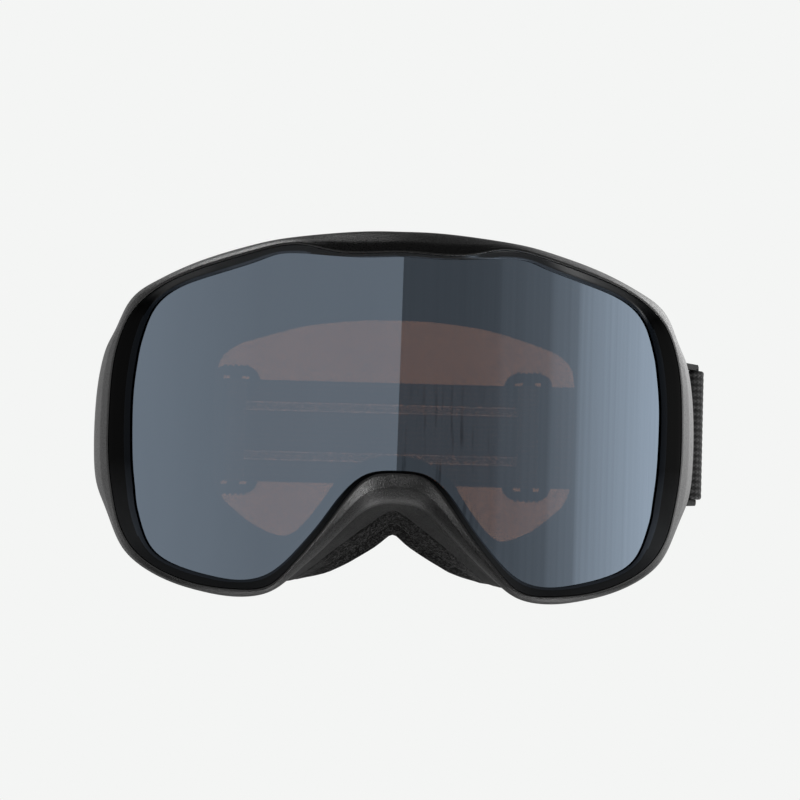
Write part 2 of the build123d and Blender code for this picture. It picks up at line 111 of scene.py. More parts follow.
FACE_OPENING = [
    (0, 28.2), (12, 27.9), (22, 26.9), (34, 24.4), (44, 21.5), (49.8, 18.8), (52.8, 15.4),
    (53.6, 12.3), (53.8, 9.5), (53.8, 6), (53.8, -2), (53.6, -11), (53.4, -17.2), (53, -20.5),
    (51.9, -24), (48, -28.2), (43, -32), (38, -34.6), (32.8, -36), (28.6, -34.2), (24.2, -29.4),
    (19.2, -22.3), (14.6, -16.6), (8, -12.7), (0, -11.5),
]

# Strap centre line from above, from the clip to the back of the head, in millimetres.
ROUTES = {
    "right": [(94.8, 28), (95, 75), (91.6, 128), (78.5, 162.5), (0, 162.5)],
    "left": [(-89.5, 29.2), (-91.6, 75), (-90, 128), (-78.5, 162.5), (0, 162.5)],
}
ROUTE_RADII = [300, 100, 15]
HINGE = (85.8, 12.0)
CLIP_BAR_DISTANCE = 14.8
CLIP_REST_ANGLE = {"right": 26.5, "left": 4.9}
FOLD_RADIUS = 2.4
BLEND_END_Y = 95
CLIP_END_WIDENING = 0.045
PALE = (0.905, 0.913, 0.905, 1)
SIDES = {"right": 1, "left": -1}
TILT = (
    Matrix.Translation((0, 22 * MM, -3.2 * MM))
    @ Matrix.Rotation(math.radians(-1.35), 4, "X")
    @ Matrix.Translation((0, -22 * MM, 0))
)
rng = np.random.default_rng(7)


# ---------------------------------------------------------------- curves and meshes


def periodic_spline(knots, period, values, at):
    """Closed cubic through values at knots, read at the given parameters."""
    count = len(knots)
    steps = np.diff(np.append(knots, period))
    matrix = np.zeros((count, count))
    right = np.zeros((count, values.shape[1]))
    for i in range(count):
        before, after = steps[i - 1], steps[i]
        matrix[i, i - 1] += before
        matrix[i, i] += 2 * (before + after)
        matrix[i, (i + 1) % count] += after
        rise = (values[(i + 1) % count] - values[i]) / after
        right[i] = 6 * (rise - (values[i] - values[i - 1]) / before)
    bend = np.linalg.solve(matrix, right)
    place = np.searchsorted(knots, at, side="right") - 1
    following = (place + 1) % count
    h = steps[place][:, None]
    b = ((at - knots[place])[:, None]) / h
    a = 1 - b
    curve = a * values[place] + b * values[following]
    return curve + ((a**3 - a) * bend[place] + (b**3 - b) * bend[following]) * h**2 / 6


def full(half):
    points = half + [(-x, z) for x, z in reversed(half[1:-1])]
    return np.array(points, float) * MM


_guide = full(CREST)
_chords = np.linalg.norm(np.roll(_guide, -1, 0) - _guide, axis=1)
_knots = np.concatenate([[0], np.cumsum(_chords)[:-1]])
_at = np.linspace(0, _chords.sum(), AROUND, endpoint=False)


def outline(half):
    """The smooth closed outline, AROUND points."""
    return periodic_spline(_knots, _chords.sum(), full(half), _at)


def inset(line, distance):
    """The outline moved inwards along its normals."""
    tangent = np.roll(line, -1, 0) - np.roll(line, 1, 0)
    tangent /= np.linalg.norm(tangent, axis=1)[:, None]
    return line + np.stack([tangent[:, 1], -tangent[:, 0]], 1) * distance


def sag(x, radius=LENS_RADIUS):
    return radius - np.sqrt(radius**2 - x**2)


def lay(line, y):
    return np.stack([line[:, 0], y, line[:, 1]], 1)


def at_depth(line, depth):
    """The outline behind the lens surface, depth along Y."""
    return lay(line, LENS_APEX_Y + sag(line[:, 0]) + depth * MM)


def in_lens(line, depth):
    """The outline on a cylinder about the lens axis, depth square to the lens."""
    inner = LENS_RADIUS - depth * MM
    return lay(line, LENS_APEX_Y + depth * MM + sag(line[:, 0], inner))


def at_face(line, depth):
    """The outline on the curved face surface, depth forwards from it."""
    return lay(line, line[:, 0] ** 2 / (2 * FACE_CURVATURE_RADIUS) - depth * MM)


def rounded(loops, radii, steps=4, longest=1.6):
    """The section's corners turned into curves, and its long flats divided."""
    made = []
    count = len(loops)
    for i, (corner, radius) in enumerate(zip(loops, radii)):
        before, after = loops[i - 1], loops[(i + 1) % count]
        ends = []
        for other in (before, after):
            way = other - corner
            length = np.linalg.norm(way, axis=1)[:, None]
            ends.append(corner + way / length * np.minimum(radius * MM, 0.42 * length))
        for t in np.linspace(0, 1, steps + 1):
            made.append((1 - t) ** 2 * ends[0] + 2 * t * (1 - t) * corner + t**2 * ends[1])
    filled = []
    for loop, following in zip(made, made[1:] + made[:1]):
        gap = np.median(np.linalg.norm(following - loop, axis=1))
        parts = max(1, int(math.ceil(gap / (longest * MM))))
        filled += [loop + (following - loop) * k / parts for k in range(parts)]
    return filled


def new_object(name, points, faces, smooth_angle=35, attributes=None):
    mesh = bpy.data.meshes.new(name)
    mesh.from_pydata([tuple(p) for p in points], [], [tuple(f) for f in faces])
    for key, values in (attributes or {}).items():
        layer = mesh.attributes.new(key, "FLOAT", "POINT")
        layer.data.foreach_set("value", np.asarray(values, np.float32))
    mesh.update()
    obj = bpy.data.objects.new(name, mesh)
    bpy.context.scene.collection.objects.link(obj)
    mesh.shade_smooth()
    mesh.set_sharp_from_angle(angle=math.radians(smooth_angle))
    return obj


def grid_faces(rows, columns, close_rows=True, close_columns=True):
    r = np.arange(rows if close_rows else rows - 1)
    c = np.arange(columns if close_columns else columns - 1)
    r, c = np.meshgrid(r, c, indexing="ij")
    r2, c2 = (r + 1) % rows, (c + 1) % columns
    quads = np.stack([r * columns + c, r * columns + c2, r2 * columns + c2, r2 * columns + c], -1)
    return quads.reshape(-1, 4)


def tube(name, loops, smooth_angle=35):
    """The closed ring whose section runs through the loops."""
    points = np.concatenate(loops)
    faces = grid_faces(len(loops), len(loops[0]))
    obj = new_object(name, points, faces, smooth_angle)
    return face_outwards(obj)


def face_outwards(obj):
    """Turn the faces so that the closed mesh holds a positive volume."""
    mesh = obj.data
    mesh.calc_loop_triangles()
    co = np.array([v.co for v in mesh.vertices], float).reshape(-1, 3)
    tri = np.array([t.vertices for t in mesh.loop_triangles])
    volume = np.einsum("ij,ij->i", co[tri[:, 0]], np.cross(co[tri[:, 1]], co[tri[:, 2]])).sum()
    if volume < 0:
        mesh.flip_normals()
    return obj


def filleted(points, radii, spacing):
    """Points along a route of straight runs joined by tangent arcs."""
    points = [np.array(p, float) for p in points]
    path = [points[0]]
    for before, corner, after, radius in zip(points, points[1:], points[2:], radii):
        a = (before - corner) / np.linalg.norm(before - corner)
        b = (after - corner) / np.linalg.norm(after - corner)
        half = math.acos(np.clip(a @ b, -1, 1)) / 2
        start, end = corner + a * radius / math.tan(half), corner + b * radius / math.tan(half)
        centre = corner + (a + b) / np.linalg.norm(a + b) * radius / math.sin(half)
        turn = math.pi - 2 * half
        steps = max(3, int(turn * radius / spacing))
        spoke = start - centre
        sign = 1 if spoke[0] * (end - centre)[1] - spoke[1] * (end - centre)[0] > 0 else -1
        for k in range(steps + 1):
            angle = sign * turn * k / steps
            c, s = math.cos(angle), math.sin(angle)
            path.append(centre + [c * spoke[0] - s * spoke[1], s * spoke[0] + c * spoke[1]])
    path.append(points[-1])
    path = np.array(path)
    along = np.concatenate([[0], np.cumsum(np.linalg.norm(np.diff(path, axis=0), axis=1))])
    count = max(2, int(along[-1] / spacing) + 1)
    even = np.linspace(0, along[-1], count)
    return np.stack([np.interp(even, along, path[:, 0]), np.interp(even, along, path[:, 1])], 1)


def cut(path, test):
    """The stretch of a path whose points pass the test."""
    return path[np.array([test(p) for p in path])]


def headings(path):
    tangent = np.gradient(path, axis=0)
    return tangent / np.linalg.norm(tangent, axis=1)[:, None]


def knit_relief(along, across):
    """Outward shift of a strap's face: ribs along the strap with a slow ripple."""
    rib = np.abs(np.sin(across * math.pi / RIB_PITCH))
    return (rib - 0.5) * 0.10 * MM + np.sin(along * 2 * math.pi / STITCH_PITCH) * 0.02 * MM


def band(name, path, thickness=STRAP_THICKNESS, wide=0.0):
    """A knitted strap on edge along a path seen from above, in millimetres.

    wide is how much broader the strap is at the clip than at the back of the head."""
    path = path * MM
    normal = headings(path)[:, ::-1] * [1, -1]
    along = np.concatenate([[0], np.cumsum(np.linalg.norm(np.diff(path, axis=0), axis=1))])
    half = thickness / 2
    reach = STRAP_WIDTH / 2 - half
    flat = np.linspace(-1, 1, 150) * reach
    turn = np.linspace(-90, 90, 7)[1:-1] * math.pi / 180
    section = [(1, z) for z in flat]
    section += [(math.cos(t + math.pi / 2), reach + half * math.cos(t)) for t in turn]
    section += [(-1, z) for z in flat[::-1]]
    section += [(-math.cos(t + math.pi / 2), -reach - half * math.cos(t)) for t in turn]
    section = np.array(section)
    side, across = section[:, 0], section[:, 1]
    a, c = np.meshgrid(along, across, indexing="ij")
    face = np.clip(np.abs(side) * 2 - 1, 0, 1)[None, :]
    shift = side[None, :] * half + np.sign(side)[None, :] * face * knit_relief(a, c)
    points = np.empty(a.shape + (3,))
    points[..., 0] = path[:, 0][:, None] + normal[:, 0][:, None] * shift
    points[..., 1] = path[:, 1][:, None] + normal[:, 1][:, None] * shift
    points[..., 2] = c * (1 + wide * np.clip((BLEND_END_Y * MM - points[..., 1]) / (50 * MM), 0, 1))
    rows_count, columns = a.shape
    faces = [tuple(f) for f in grid_faces(rows_count, columns, close_rows=False)]
    faces.append(tuple(range(columns)))
    faces.append(tuple(range((rows_count - 1) * columns, rows_count * columns))[::-1])
    attributes = {"along": a.ravel(), "across": c.ravel()}
    obj = new_object(name, points.reshape(-1, 3), faces, 60, attributes)
    obj.data.transform(TILT)
    return face_outwards(obj)


# ---------------------------------------------------------------- materials


class Nodes:
    """A short way to write a material's node tree."""

    def __init__(self, name):
        self.material = bpy.data.materials.new(name)
        self.material.use_nodes = True
        self.tree = self.material.node_tree
        self.tree.nodes.clear()
        self.out = self.add("ShaderNodeOutputMaterial")

    def add(self, kind, **inputs):
        node = self.tree.nodes.new(kind)
        for key, value in inputs.items():
            self.set(node, key, value)
        return node

    def set(self, node, key, value):
        socket = node.inputs[key.replace("_", " ")] if isinstance(key, str) else node.inputs[key]
        if isinstance(value, bpy.types.NodeSocket):
            self.tree.links.new(value, socket)
        else:
            socket.default_value = value

    def coordinates(self, stretch=(1, 1, 1)):
        coords = self.add("ShaderNodeTexCoord")
        mapping = self.add("ShaderNodeMapping")
        mapping.inputs["Scale"].default_value = stretch
        self.tree.links.new(coords.outputs["Object"], mapping.inputs["Vector"])
        return mapping.outputs["Vector"]

    def noise(self, scale, detail=2.0, roughness=0.5, stretch=(1, 1, 1), vector=None):
        vector = vector or self.coordinates(stretch)
        node = self.add("ShaderNodeTexNoise", Vector=vector, Scale=scale, Detail=detail)
        node.inputs["Roughness"].default_value = roughness
        return node.outputs["Fac"]

    def cells(self, scale):
        return self.add("ShaderNodeTexVoronoi", Vector=self.coordinates(), Scale=scale)

    def spread(self, value, low, high, to_low, to_high):
        node = self.add("ShaderNodeMapRange", Value=value)
        for key, number in zip(("From Min", "From Max", "To Min", "To Max"),
                               (low, high, to_low, to_high)):
            node.inputs[key].default_value = number
        return node.outputs["Result"]

    def maths(self, operation, a, b=0.0):
        node = self.add("ShaderNodeMath")
        node.operation = operation
        self.set(node, 0, a)
        self.set(node, 1, b)
        return node.outputs["Value"]

    def ramp(self, factor, stops):
        node = self.add("ShaderNodeValToRGB", Fac=factor)
        elements = node.color_ramp.elements
        while len(elements) < len(stops):
            elements.new(0.5)
        for element, (place, colour) in zip(elements, stops):
            element.position = place
            element.color = (*colour, 1)
        return node.outputs["Color"]

    def bump(self, height, distance, strength=1.0, normal=None):
        node = self.add("ShaderNodeBump", Height=height, Strength=strength, Distance=distance)
        if normal is not None:
            self.set(node, "Normal", normal)
        return node.outputs["Normal"]

    def attribute(self, name):
        node = self.add("ShaderNodeAttribute")
        node.attribute_name = name
        return node.outputs["Fac"]

    def mirror_over(self, clear, mirror, share):
        """A clear shader under a mirror that takes the given share."""
        mix = self.add("ShaderNodeMixShader", Fac=share)
        self.tree.links.new(clear.outputs[0], mix.inputs[1])
        self.tree.links.new(mirror.outputs[0], mix.inputs[2])
        self.tree.links.new(mix.outputs[0], self.out.inputs["Surface"])
        return self.material

    def principled(self, **inputs):
        node = self.add("ShaderNodeBsdfPrincipled", **inputs)
        self.tree.links.new(node.outputs["BSDF"], self.out.inputs["Surface"])
        return self.material


def grey(value):
    return (value, value, value)


def moulded_plastic(name, value, rough, grain=1.0, shine=0.5):
    """Matte moulded plastic with a fine leather grain, mottling and paler worn edges."""
    n = Nodes(name)
    fine = n.noise(2600, 3, 0.6)
    mottle = n.noise(160, 3)
    colour = n.ramp(mottle, [(0.3, grey(value * 0.85)), (0.7, grey(value * 1.15))])
    edge = n.spread(n.add("ShaderNodeNewGeometry").outputs["Pointiness"], 0.52, 0.6, 0.0, 0.35)
    worn = n.add("ShaderNodeMix")
    worn.data_type = "RGBA"
    n.set(worn, 0, edge)
    n.tree.links.new(colour, worn.inputs[6])
    worn.inputs[7].default_value = (*grey(value * 2.2), 1)
    roughness = n.spread(fine, 0.3, 0.7, rough - 0.06, rough + 0.08)
    normal = n.bump(fine, 0.0002, 0.6 * grain)
    normal = n.bump(n.noise(700, 2), 0.0002, 0.12 * grain, normal)
    return n.principled(
        Base_Color=worn.outputs[2], Roughness=roughness, Normal=normal, Specular_IOR_Level=shine
    )


def gloss_black(name, side, end, shine):
    """Polished black, painted paler below and a little above as a painted reflection, with moulding flow
    in its roughness.
    """
    n = Nodes(name)
    flow = n.noise(90, 3, 0.6)
    split = n.add("ShaderNodeSeparateXYZ", Vector=n.coordinates())
    height = n.maths("ADD", split.outputs["Z"], n.spread(flow, 0.3, 0.7, -0.002, 0.002))
    place = n.spread(height, -0.05, 0.05, 0, 1)
    # Painted reflection: the end colour at the bottom and its dimmer copy at the top.
    colour = n.ramp(place, [(0.13, end), (0.36, side), (0.8, side), (0.92, tuple(0.7 * c for c in end))])
    roughness = n.spread(flow, 0.3, 0.7, 0.09, 0.15)
    normal = n.bump(n.noise(900, 2), 0.00002, 0.2)
    return n.principled(
        Base_Color=colour, Roughness=roughness, Normal=normal, Specular_IOR_Level=shine
    )


def mirrored_tint(name):
    """The outer lens's front: a weak blue mirror over a brown tint, stronger at a slant."""
    n = Nodes(name)
    smear = n.noise(55, 4, 0.6, stretch=(1, 1, 0.25))
    clear = n.add("ShaderNodeBsdfTransparent", Color=(0.128, 0.060, 0.032, 1))
    colour = n.ramp(smear, [(0.25, (0.372, 0.460, 0.568)), (0.75, (0.388, 0.480, 0.592))])
    mirror = n.add("ShaderNodeBsdfAnisotropic", Color=colour, Roughness=0.0)
    slant = n.add("ShaderNodeLayerWeight").outputs["Facing"]
    return n.mirror_over(clear, mirror, n.spread(slant, 0.08, 0.32, 0.35, 0.47))


def clear_lens(name, tint, shine):
    """Clear sheet with a faint reflection and the haze of an anti-fog film."""
    n = Nodes(name)
    haze = n.noise(40, 4)
    clear = n.add("ShaderNodeBsdfTransparent")
    colour = n.ramp(haze, [(0.3, tuple(0.97 * c for c in tint)), (0.7, tint)])
    n.tree.links.new(colour, clear.inputs["Color"])
    mirror = n.add("ShaderNodeBsdfAnisotropic", Color=(0.8, 0.8, 0.8, 1), Roughness=0.05)
    return n.mirror_over(clear, mirror, shine)


def foam(name, low, high, pore, sheen=0.0):
    """Cut foam: open pores that darken the surface and pit it."""
    n = Nodes(name)
    cells = n.cells(pore).outputs["Distance"]
    patch = n.noise(250, 4, 0.7)
    mixed = n.maths("MULTIPLY", cells, n.spread(patch, 0.3, 0.7, 0.7, 1.3))
    colour = n.ramp(mixed, [(0.1, grey(low)), (0.6, grey(high))])
    normal = n.bump(cells, 0.0004, 0.9)
    normal = n.bump(n.noise(pore * 1.7, 4, 0.7), 0.0003, 0.6, normal)
    return n.principled(
        Base_Color=colour, Roughness=0.95, Normal=normal, Specular_IOR_Level=0.15,
        Sheen_Weight=sheen, Sheen_Roughness=0.5,
    )


def fleece(name, pile):
    """Brushed fleece: dark pile speckled with paler fibre tips."""
    n = Nodes(name)
    tips = n.cells(pile)
    speck = n.add("ShaderNodeSeparateXYZ", Vector=tips.outputs["Color"]).outputs["X"]
    clumps = n.noise(pile * 0.3, 4, 0.75)
    mixed = n.maths("MULTIPLY", speck, n.spread(clumps, 0.3, 0.7, 0.7, 1.2))
    colour = n.ramp(mixed, [(0.1, grey(0.0015)), (0.5, grey(0.009)), (0.9, grey(0.042))])
    normal = n.bump(clumps, 0.0006, 0.7)
    normal = n.bump(tips.outputs["Distance"], 0.0003, 0.8, normal)
    return n.principled(
        Base_Color=colour, Roughness=1.0, Normal=normal, Specular_IOR_Level=0.1,
        Sheen_Weight=0.15, Sheen_Roughness=0.4,
    )


def knitted(name, value):
    """Elastic webbing: ribs along the strap crossed by small knitted chevrons."""
    n = Nodes(name)
    along, across = n.attribute("along"), n.attribute("across")
    rib = n.maths("SINE", n.maths("MULTIPLY", across, 2 * math.pi / RIB_PITCH))
    slant = n.maths("MULTIPLY", n.maths("ABSOLUTE", rib), 0.0006)
    stitch = n.maths("SINE", n.maths("MULTIPLY", n.maths("ADD", along, slant), 2 * math.pi / STITCH_PITCH))
    weave = n.maths("MULTIPLY", n.spread(rib, -1, 1, 0.35, 1), n.spread(stitch, -1, 1, 0.45, 1))
    fuzz = n.noise(2200, 4, 0.7)
    mixed = n.maths("MULTIPLY", weave, n.spread(fuzz, 0.25, 0.75, 0.7, 1.3))
    colour = n.ramp(mixed, [(0.1, grey(value * 0.35)), (0.9, grey(value * 1.5))])
    normal = n.bump(weave, 0.00035, 0.8)
    normal = n.bump(fuzz, 0.0002, 0.5, normal)
    return n.principled(
        Base_Color=colour, Roughness=0.9, Normal=normal, Specular_IOR_Level=0.2,
        Sheen_Weight=0.15, Sheen_Roughness=0.5,
    )


def speckled_silicone(name):
    """Dark silicone print with pale specks."""
    n = Nodes(name)
    speck = n.noise(2400, 3, 0.7)
    colour = n.ramp(speck, [(0.46, grey(0.03)), (0.58, grey(0.6))])
    normal = n.bump(speck, 0.0001, 0.5)
    return n.principled(Base_Color=colour, Roughness=0.35, Normal=normal, Specular_IOR_Level=0.5)


def silicone_edge(name):
    """The pale, glossy outline of the silicone print."""
    n = Nodes(name)
    dash = n.noise(500, 3)
    colour = n.ramp(dash, [(0.35, grey(0.3)), (0.6, grey(0.95))])
    return n.principled(Base_Color=colour, Roughness=n.spread(dash, 0.3, 0.7, 0.2, 0.35))


def brushed_metal(name):
    """Steel with fine lines along the pin."""
    n = Nodes(name)
    lines = n.noise(1200, 2, 0.5, stretch=(1, 1, 0.05))
    colour = n.ramp(lines, [(0.3, grey(0.42)), (0.7, grey(0.6))])
    return n.principled(
        Base_Color=colour, Metallic=1.0, Roughness=n.spread(lines, 0.3, 0.7, 0.25, 0.4),
        Normal=n.bump(lines, 0.00003, 0.3),
    )


def twisted_thread(name):
    """Dark sewing thread with the shading of its twist."""
    n = Nodes(name)
    twist = n.noise(3000, 2, 0.5, stretch=(1, 1, 3))
    colour = n.ramp(twist, [(0.3, grey(0.02)), (0.7, grey(0.07))])
    return n.principled(Base_Color=colour, Roughness=0.7, Normal=n.bump(twist, 0.0001, 0.6))


MATERIALS = {
    "shell": moulded_plastic("shell_plastic", 0.0085, 0.29),
    # The bezel's last colour is its painted reflection at the bottom and top.
    "bezel": gloss_black("bezel_gloss", (0.0006, 0.0007, 0.0007), (0.030, 0.0315, 0.033), 0.034),
    # The lip's pale blue-grey colours are a painted reflection of the lens.
    "bezel_lip_painted_reflection": gloss_black("bezel_lip_painted_reflection", (0.007, 0.009, 0.012), (0.060, 0.070, 0.085), 0.034),
    "outer_lens": mirrored_tint("lens_mirror"),
    "lens_back": clear_lens("lens_back", (0.98, 0.97, 0.96), 0.02),
    "inner_lens": clear_lens("inner_lens_film", (0.97, 0.96, 0.95), 0.02),
    "spacer": foam("spacer_tape", 0.004, 0.012, 2500),
    "inner_frame": moulded_plastic("inner_plastic", 0.016, 0.55),
    "vent_foam": foam("vent_foam", 0.008, 0.06, 900),
    "foam_base": foam("foam_base", 0.009, 0.034, 2600, 0.05),
    "foam_mid": fleece("foam_mid", 2600),
    "fleece": fleece("fleece", 2800),
    "pin": brushed_metal("pin_steel"),
    "clip": moulded_plastic("clip_plastic", 0.006, 0.6, 0.6, 0.12),
    "slider": moulded_plastic("slider_plastic", 0.012, 0.42, 0.5),
    "webbing": knitted("webbing_knit", 0.075),
    "silicone": speckled_silicone("silicone_speckle"),
    "silicone_edge": silicone_edge("silicone_edge"),
    "thread": twisted_thread("thread"),
}


def clothe(obj, material, node=None):
    """Give a piece its material and hide the CAD node that it stands for."""
    obj.data.materials.append(MATERIALS[material])
    if node:
        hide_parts(node)


def dress(obj, material, body, node):
    """Clothe a piece that rides on one body."""
    clothe(obj, material, node)
    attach(obj, body)


# ---------------------------------------------------------------- frame, bezel, lenses

LENS_LINE = outline(LENS_EDGE)
CREST_LINE = outline(CREST)
SHELL_LINE = outline(SHELL_EDGE)
FLANGE_LINE = outline(FLANGE_EDGE)
FELT_LINE = outline(FELT_EDGE)
FOAM_LINE = outline(FOAM_EDGE)
OPENING_LINE = outline(FACE_OPENING)
LENS_RIM = inset(CREST_LINE, CREST_WIDTH + 0.3 * MM)
LENS_SEAT = inset(LENS_LINE, LENS_SEAT_INSET)


def outer_frame():
    """The moulded shell with its rounded crest and swelling wall."""
    rim = inset(CREST_LINE, CREST_WIDTH)
    ridge = CREST_LINE + 0.42 * (SHELL_LINE - CREST_LINE)
    wall = CREST_LINE + 0.86 * (SHELL_LINE - CREST_LINE)
    loops = [
        at_depth(rim, -3),
        at_depth(CREST_LINE, -3),
        at_depth(ridge, -1.2),
        at_depth(wall, 3.6),
        at_depth(SHELL_LINE, 8),
        at_depth(SHELL_LINE, 12),
        at_depth(inset(SHELL_LINE, 6.4 * MM), 12),
        in_lens(LENS_SEAT, 6.3),
        in_lens(LENS_SEAT, 4.6),
        in_lens(rim, 4.6),
    ]
    radii = [0.2, 0.35, 0.9, 3, 1.8, 1.2, 0.9, 0.6, 0.4, 0.3]
    shell = tube("outer_frame_shell", rounded(loops, radii))
    dress(shell, "shell", "frame", "outer_frame")


def lens_bezel():
    """Polished ring from the crest down to the lens; its lip round the lens is painted pale and bluish as
    a painted reflection of the lens.
    """
    outside = inset(CREST_LINE, CREST_WIDTH + 0.12 * MM)
    high, low = at_depth(outside, -2.75), in_lens(LENS_LINE, -0.5)
    loops = [
        high,
        high + 0.76 * (low - high) - [0, 0.35 * MM, 0],
        low,
        in_lens(LENS_LINE, -0.1),
        in_lens(outside, -0.1),
    ]
    bezel = tube("lens_bezel_ring", rounded(loops, [0.25, 0.8, 0.15, 0.1, 0.1], longest=0.8))
    dress(bezel, "bezel", "frame", "lens_bezel")
    bezel.data.materials.append(MATERIALS["bezel_lip_painted_reflection"])
    # Faces near the lens that look forward take the lip's painted reflection of the lens.
    centres = np.array([p.center[:] for p in bezel.data.polygons])[:, [0, 2]]
    batch = 2000
    for start in range(0, len(centres), batch):
        some = centres[start:start + batch, None]
        to_lens = np.linalg.norm(some - LENS_LINE[None], axis=2).min(1)
        to_crest = np.linalg.norm(some - outside[None], axis=2).min(1)
        for i, inner in enumerate(to_lens < to_crest * 0.42):
            polygon = bezel.data.polygons[start + i]
            polygon.material_index = int(inner and polygon.normal.y < 0)


def lens_sheet(name, rim, front, rear, columns=260, rows=16):
    """A curved sheet between two depths: upright rulings between the rim's top and bottom."""
    reach = np.abs(rim[:, 0]).max()
    upper = rim[rim[:, 1] > rim[rim[:, 0].argmax(), 1]]
    lower = rim[rim[:, 1] <= rim[rim[:, 0].argmax(), 1]]
    upper, lower = (h[h[:, 0].argsort()] for h in (upper, lower))
    x = np.sin(np.linspace(-1, 1, columns) * math.pi / 2) * reach * 0.9995
    high = np.interp(x, upper[:, 0], upper[:, 1])
    low = np.interp(x, lower[:, 0], lower[:, 1])
    share = np.linspace(0, 1, rows)
    z = low[:, None] + (high - low)[:, None] * share
    grid_x = np.repeat(x[:, None], rows, 1)
    sheets = []
    for depth in (front, rear):
        radius = LENS_RADIUS - depth * MM
        y = LENS_APEX_Y + depth * MM + sag(grid_x, radius)
        sheets.append(np.stack([grid_x, y, z], -1).reshape(-1, 3))
    size = columns * rows
    front_faces = grid_faces(columns, rows, False, False)
    faces = [tuple(f) for f in front_faces] + [tuple(f[::-1] + size) for f in front_faces]
    edge = [(c * rows) for c in range(columns)]
    edge += [(columns - 1) * rows + r for r in range(1, rows)]
    edge += [c * rows + rows - 1 for c in range(columns - 2, -1, -1)]
    edge += [r for r in range(rows - 2, 0, -1)]
    for a, b in zip(edge, edge[1:] + edge[:1]):
        faces.append((b, a, a + size, b + size))
    obj = new_object(name, np.concatenate(sheets), faces, 30)
    face_outwards(obj)
    return obj, len(front_faces)


def lenses():
    """The mirrored outer sheet, the clear inner sheet and the seal between them."""
    outer, fronts = lens_sheet("outer_lens_sheet", LENS_RIM, 0, 1.2)
    dress(outer, "outer_lens", "frame", "outer_lens")
    outer.data.materials.append(MATERIALS["lens_back"])
    for polygon in outer.data.polygons:
        polygon.material_index = 0 if polygon.index < fronts else 1
    inner_rim = inset(LENS_RIM, 0.3 * MM)
    inner, _ = lens_sheet("inner_lens_sheet", inner_rim, 3.4, 4.2)
    dress(inner, "inner_lens", "frame", "inner_lens")
    near, far = SEAL_DEPTHS
    outside = [in_lens(inner_rim, near), in_lens(inner_rim, far)]
    loops = outside + [in_lens(LENS_SEAT, far), in_lens(LENS_SEAT, near)]
    seal = tube("lens_spacer_ring", rounded(loops, [0.3] * 4, 3, 0.8))
    dress(seal, "spacer", "frame", "lens_spacer_seal")


outer_frame()
lens_bezel()
lenses()


# ---------------------------------------------------------------- foam


def lumpy(obj, size, reach):
    """Shift the surface along its normals by smooth random waves."""
    mesh = obj.data
    co = np.array([v.co for v in mesh.vertices], float).reshape(-1, 3)
    normals = np.array([v.normal for v in mesh.vertices], float).reshape(-1, 3)
    shift = np.zeros(len(co))
    for octave in range(3):
        for _ in range(5):
            wave = rng.normal(size=3) * 2 * math.pi / (size * MM) * 2**octave / 2
            shift += np.sin(co @ wave + rng.uniform(0, 2 * math.pi)) / 2**octave
    shift *= reach * MM / 5
    mesh.vertices.foreach_set("co", (co + normals * shift[:, None]).astype(np.float32).ravel())
    mesh.update()


def foam_ring(name, front, front_line, rear, rear_line, radii, out, every=1):
    """One layer of the face foam: its section lies between two depths from the face."""
    outside = inset(front_line, out * MM), inset(rear_line, out * MM)
    inside = inset(OPENING_LINE, -out * MM)
    loops = [at_face(outside[0], front), at_face(outside[1], rear),
             at_face(inside, rear), at_face(inside, front)]
    return tube(name, [loop[::every] for loop in rounded(loops, radii, 5, 1.5)], 80)


def puff_up(obj, pinned, pressure, cap):
    """Blow the closed skin up a little like stuffed cloth, its pinned side held, and keep the result."""
    mesh = obj.data
    start = np.array([v.co for v in mesh.vertices], float).reshape(-1, 3)
    group = obj.vertex_groups.new(name="held")
    group.add([int(i) for i in np.where(pinned(start))[0]], 1.0, "REPLACE")
    cloth = obj.modifiers.new("cloth", "CLOTH")
    cloth.settings.quality = 4
    cloth.settings.use_pressure = True
    cloth.settings.uniform_pressure_force = pressure
    cloth.settings.tension_stiffness = cloth.settings.compression_stiffness = 5
    cloth.settings.vertex_group_mass = "held"
    cloth.settings.effector_weights.gravity = 0
    cloth.collision_settings.use_collision = False
    scene = bpy.context.scene
    for step in range(1, 16):
        scene.frame_set(step)
    solved = obj.evaluated_get(bpy.context.evaluated_depsgraph_get()).to_mesh()
    moved = np.array([v.co for v in solved.vertices], float).reshape(-1, 3) - start
    length = np.linalg.norm(moved, axis=1)[:, None]
    moved *= np.minimum(1, cap * MM / np.maximum(length, 1e-9))
    obj.modifiers.clear()
    scene.frame_set(1)
    mesh.vertices.foreach_set("co", (start + moved).astype(np.float32).ravel())
    mesh.update()


def foam_layers():
    """Felt-faced base, dark open foam and fleece, from the flange to the face."""

    def at_front(co):
        return co[:, 0] ** 2 / (2 * FACE_CURVATURE_RADIUS) - co[:, 1] > 2.6 * MM

    middle_line = (FELT_LINE + FOAM_LINE) / 2
    base = foam_ring("foam_base_ring", 17.25, FLANGE_LINE, 7.3, FELT_LINE, [0.4, 0.7, 0.7, 0.4], 0)
    lumpy(base, 7, 0.10)
    dress(base, "foam_base", "frame", "face_foam_base")
    middle = foam_ring("foam_mid_ring", 7.1, FELT_LINE, 3.2, middle_line, [0.8, 0.8, 0.8, 0.8], 0.1)
    lumpy(middle, 5, 0.12)
    dress(middle, "foam_mid", "frame", "face_foam_mid")
    fleece = foam_ring("fleece_ring", 3, middle_line, 0.5, FOAM_LINE, [0.4, 1.2, 1.2, 0.4], 0.5, 2)
    puff_up(fleece, at_front, 3.0, 0.5)
    lumpy(fleece, 6, 0.15)
    dress(fleece, "fleece", "frame", "face_fleece")


foam_layers()

# Vent foams: place, then the limits of the wall that they line, in X and in Z.
VENTS = (("top", 5, 62, 30, 60), ("bottom", 36, 56, -60, -38), ("side", 60, 90, -18, 14))
VENT_FOAM_THICKNESS = 1.9 * MM


